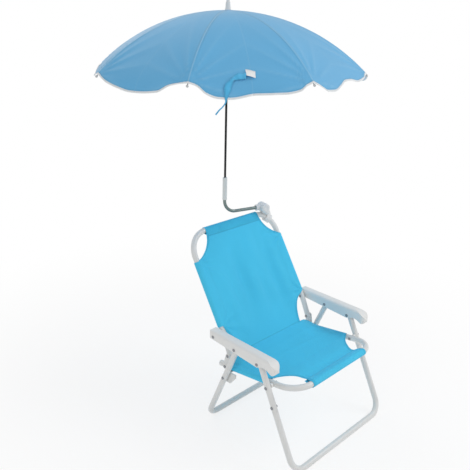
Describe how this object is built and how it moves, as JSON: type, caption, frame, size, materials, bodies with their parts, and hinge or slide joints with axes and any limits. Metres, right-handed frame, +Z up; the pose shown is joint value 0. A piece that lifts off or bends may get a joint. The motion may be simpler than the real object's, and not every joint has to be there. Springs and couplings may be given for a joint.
{
  "type": "child beach chair with umbrella",
  "caption": "Small folding child's beach chair with tubular frame, cloth sling, armrests and a clamp-on sun umbrella that tilts, turns and closes.",
  "frame": {"origin": "middle of the whole object at floor level", "axes": "+Z up, -Y towards the front of the seat, +X to the left of a sitter facing forward"},
  "size_m": [0.7194, 0.8033, 1.0754],
  "materials": {
    "white_frame": "satin powder coat",
    "dark_steel": "dull galvanised",
    "white_plastic": "matt moulded",
    "sleeve_plastic": "matt",
    "black_pole": "black paint",
    "chair_cloth": "woven",
    "canopy_cloth": "smooth woven",
    "label_cloth": "satin",
    "rib_steel": "zinc plated"
  },
  "bodies": {
    "front_legs": {"front_leg_left": "white_frame", "front_leg_right": "white_frame", "front_floor_frame": "white_frame", "front_leg_rivets": "dark_steel", "seat_pivot_bolts": "dark_steel", "seat_pivot_spacers": "white_plastic"},
    "seat": {"seat_frame": "white_frame", "seat_rail_caps": "white_plastic", "seat_hinge_plates": "white_frame", "seat_plate_rivets": "dark_steel", "sling_seat": "chair_cloth"},
    "back": {"back_frame": "white_frame", "back_tube_plugs": "white_plastic", "back_pivot_bolts": "dark_steel", "sling_back": "chair_cloth", "clamp_body": "white_plastic", "clamp_jaw": "white_plastic"},
    "arms": {"armrest_left": "white_plastic", "armrest_right": "white_plastic", "arm_bolts": "dark_steel", "arm_washers": "white_plastic"},
    "rear_legs": {"rear_leg_left": "white_frame", "rear_leg_right": "white_frame", "rear_floor_frame": "white_frame", "rear_leg_rivets": "dark_steel", "rail_rests": "white_frame"},
    "knob": {"clamp_knob": "white_plastic"},
    "rod": {"umbrella_rod": "dark_steel", "pole_sleeve": "sleeve_plastic"},
    "pole": {"umbrella_pole": "black_pole", "crown": "white_plastic", "ferrule": "white_plastic", "canopy": "canopy_cloth", "tie_strap": "canopy_cloth", "care_label": "label_cloth"},
    "runner": {"runner": "white_plastic"},
    "rib_1": {"rib_1": "rib_steel"},
    "stretcher_1": {"stretcher_1": "rib_steel"},
    "rib_2": {"rib_2": "rib_steel"},
    "stretcher_2": {"stretcher_2": "rib_steel"},
    "rib_3": {"rib_3": "rib_steel"},
    "stretcher_3": {"stretcher_3": "rib_steel"},
    "rib_4": {"rib_4": "rib_steel"},
    "stretcher_4": {"stretcher_4": "rib_steel"},
    "rib_5": {"rib_5": "rib_steel"},
    "stretcher_5": {"stretcher_5": "rib_steel"},
    "rib_6": {"rib_6": "rib_steel"},
    "stretcher_6": {"stretcher_6": "rib_steel"},
    "rib_7": {"rib_7": "rib_steel"},
    "stretcher_7": {"stretcher_7": "rib_steel"},
    "rib_8": {"rib_8": "rib_steel"},
    "stretcher_8": {"stretcher_8": "rib_steel"}
  },
  "joints": [
    {"name": "seat_fold", "type": "hinge", "parent": "front_legs", "child": "seat", "pos_m": [0, -0.29203, 0.19972], "axis": [1, 0, 0], "range_deg": [0, 42]},
    {"name": "back_fold", "type": "hinge", "parent": "seat", "child": "back", "pos_m": [0, -0.1419, 0.20864], "axis": [1, 0, 0], "range_deg": [-42, 0]},
    {"name": "arm_fold", "type": "hinge", "parent": "back", "child": "arms", "pos_m": [0, -0.11518, 0.26292], "axis": [1, 0, 0], "range_deg": [0, 42]},
    {"name": "rear_leg_fold", "type": "hinge", "parent": "arms", "child": "rear_legs", "pos_m": [0, -0.18915, 0.25853], "axis": [1, 0, 0], "range_deg": [-80, 0]},
    {"name": "knob_turn", "type": "hinge", "parent": "back", "child": "knob", "pos_m": [0.119, 0.01513, 0.50908], "axis": [-0.2773, -0.9608, 0], "range_deg": [0, 360]},
    {"name": "umbrella_tilt", "type": "hinge", "parent": "back", "child": "rod", "pos_m": [0, 0.04948, 0.50908], "axis": [0.9608, -0.2773, 0], "range_deg": [-40, 40]},
    {"name": "pole_turn", "type": "hinge", "parent": "rod", "child": "pole", "pos_m": [0, 0.04948, 0.50908], "axis": [0, 0, 1], "range_deg": [-180, 180]},
    {"name": "runner_slide", "type": "slide", "parent": "pole", "child": "runner", "axis": [0, 0, 1], "range_m": [-0.142, 0], "deforming": ["canopy", "tie_strap", "care_label"]},
    {"name": "rib_1_hinge", "type": "hinge", "parent": "pole", "child": "rib_1", "pos_m": [0.00781, 0.04775, 1.0375], "axis": [0.2164, 0.9763, 0], "range_deg": [0, 60]},
    {"name": "stretcher_1_hinge", "type": "hinge", "parent": "runner", "child": "stretcher_1", "pos_m": [0.01046, 0.05044, 0.9675], "axis": [0.2164, 0.9763, 0], "range_deg": [-38.3, 0]},
    {"name": "rib_2_hinge", "type": "hinge", "parent": "pole", "child": "rib_2", "pos_m": [0.00675, 0.05378, 1.0375], "axis": [-0.5373, 0.8434, 0], "range_deg": [0, 60]},
    {"name": "stretcher_2_hinge", "type": "hinge", "parent": "runner", "child": "stretcher_2", "pos_m": [0.00671, 0.05755, 0.9675], "axis": [-0.5373, 0.8434, 0], "range_deg": [-38.3, 0]},
    {"name": "rib_3_hinge", "type": "hinge", "parent": "pole", "child": "rib_3", "pos_m": [0.00173, 0.05729, 1.0375], "axis": [-0.9763, 0.2164, 0], "range_deg": [0, 60]},
    {"name": "stretcher_3_hinge", "type": "hinge", "parent": "runner", "child": "stretcher_3", "pos_m": [-0.00096, 0.05994, 0.9675], "axis": [-0.9763, 0.2164, 0], "range_deg": [-38.3, 0]},
    {"name": "rib_4_hinge", "type": "hinge", "parent": "pole", "child": "rib_4", "pos_m": [-0.0043, 0.05623, 1.0375], "axis": [-0.8434, -0.5373, 0], "range_deg": [0, 60]},
    {"name": "stretcher_4_hinge", "type": "hinge", "parent": "runner", "child": "stretcher_4", "pos_m": [-0.00807, 0.0562, 0.9675], "axis": [-0.8434, -0.5373, 0], "range_deg": [-38.3, 0]},
    {"name": "rib_5_hinge", "type": "hinge", "parent": "pole", "child": "rib_5", "pos_m": [-0.00781, 0.05121, 1.0375], "axis": [-0.2164, -0.9763, 0], "range_deg": [0, 60]},
    {"name": "stretcher_5_hinge", "type": "hinge", "parent": "runner", "child": "stretcher_5", "pos_m": [-0.01046, 0.04852, 0.9675], "axis": [-0.2164, -0.9763, 0], "range_deg": [-38.3, 0]},
    {"name": "rib_6_hinge", "type": "hinge", "parent": "pole", "child": "rib_6", "pos_m": [-0.00675, 0.04518, 1.0375], "axis": [0.5373, -0.8434, 0], "range_deg": [0, 60]},
    {"name": "stretcher_6_hinge", "type": "hinge", "parent": "runner", "child": "stretcher_6", "pos_m": [-0.00671, 0.04141, 0.9675], "axis": [0.5373, -0.8434, 0], "range_deg": [-38.3, 0]},
    {"name": "rib_7_hinge", "type": "hinge", "parent": "pole", "child": "rib_7", "pos_m": [-0.00173, 0.04167, 1.0375], "axis": [0.9763, -0.2164, 0], "range_deg": [0, 60]},
    {"name": "stretcher_7_hinge", "type": "hinge", "parent": "runner", "child": "stretcher_7", "pos_m": [0.00096, 0.03902, 0.9675], "axis": [0.9763, -0.2164, 0], "range_deg": [-38.3, 0]},
    {"name": "rib_8_hinge", "type": "hinge", "parent": "pole", "child": "rib_8", "pos_m": [0.0043, 0.04273, 1.0375], "axis": [0.8434, 0.5373, 0], "range_deg": [0, 60]},
    {"name": "stretcher_8_hinge", "type": "hinge", "parent": "runner", "child": "stretcher_8", "pos_m": [0.00807, 0.04277, 0.9675], "axis": [0.8434, 0.5373, 0], "range_deg": [-38.3, 0]}
  ],
  "couplings": [
    {"joint": "back_fold", "follows": "seat_fold", "ratio": -1},
    {"joint": "arm_fold", "follows": "seat_fold", "ratio": 1},
    {"joint": "rear_leg_fold", "follows": "seat_fold", "ratio": -1.9048},
    {"joint": "rib_1_hinge", "follows": "runner_slide", "rad_per_m": -7.3746},
    {"joint": "stretcher_1_hinge", "follows": "runner_slide", "rad_per_m": 4.7074},
    {"joint": "rib_2_hinge", "follows": "runner_slide", "rad_per_m": -7.3746},
    {"joint": "stretcher_2_hinge", "follows": "runner_slide", "rad_per_m": 4.7074},
    {"joint": "rib_3_hinge", "follows": "runner_slide", "rad_per_m": -7.3746},
    {"joint": "stretcher_3_hinge", "follows": "runner_slide", "rad_per_m": 4.7074},
    {"joint": "rib_4_hinge", "follows": "runner_slide", "rad_per_m": -7.3746},
    {"joint": "stretcher_4_hinge", "follows": "runner_slide", "rad_per_m": 4.7074},
    {"joint": "rib_5_hinge", "follows": "runner_slide", "rad_per_m": -7.3746},
    {"joint": "stretcher_5_hinge", "follows": "runner_slide", "rad_per_m": 4.7074},
    {"joint": "rib_6_hinge", "follows": "runner_slide", "rad_per_m": -7.3746},
    {"joint": "stretcher_6_hinge", "follows": "runner_slide", "rad_per_m": 4.7074},
    {"joint": "rib_7_hinge", "follows": "runner_slide", "rad_per_m": -7.3746},
    {"joint": "stretcher_7_hinge", "follows": "runner_slide", "rad_per_m": 4.7074},
    {"joint": "rib_8_hinge", "follows": "runner_slide", "rad_per_m": -7.3746},
    {"joint": "stretcher_8_hinge", "follows": "runner_slide", "rad_per_m": 4.7074}
  ]
}
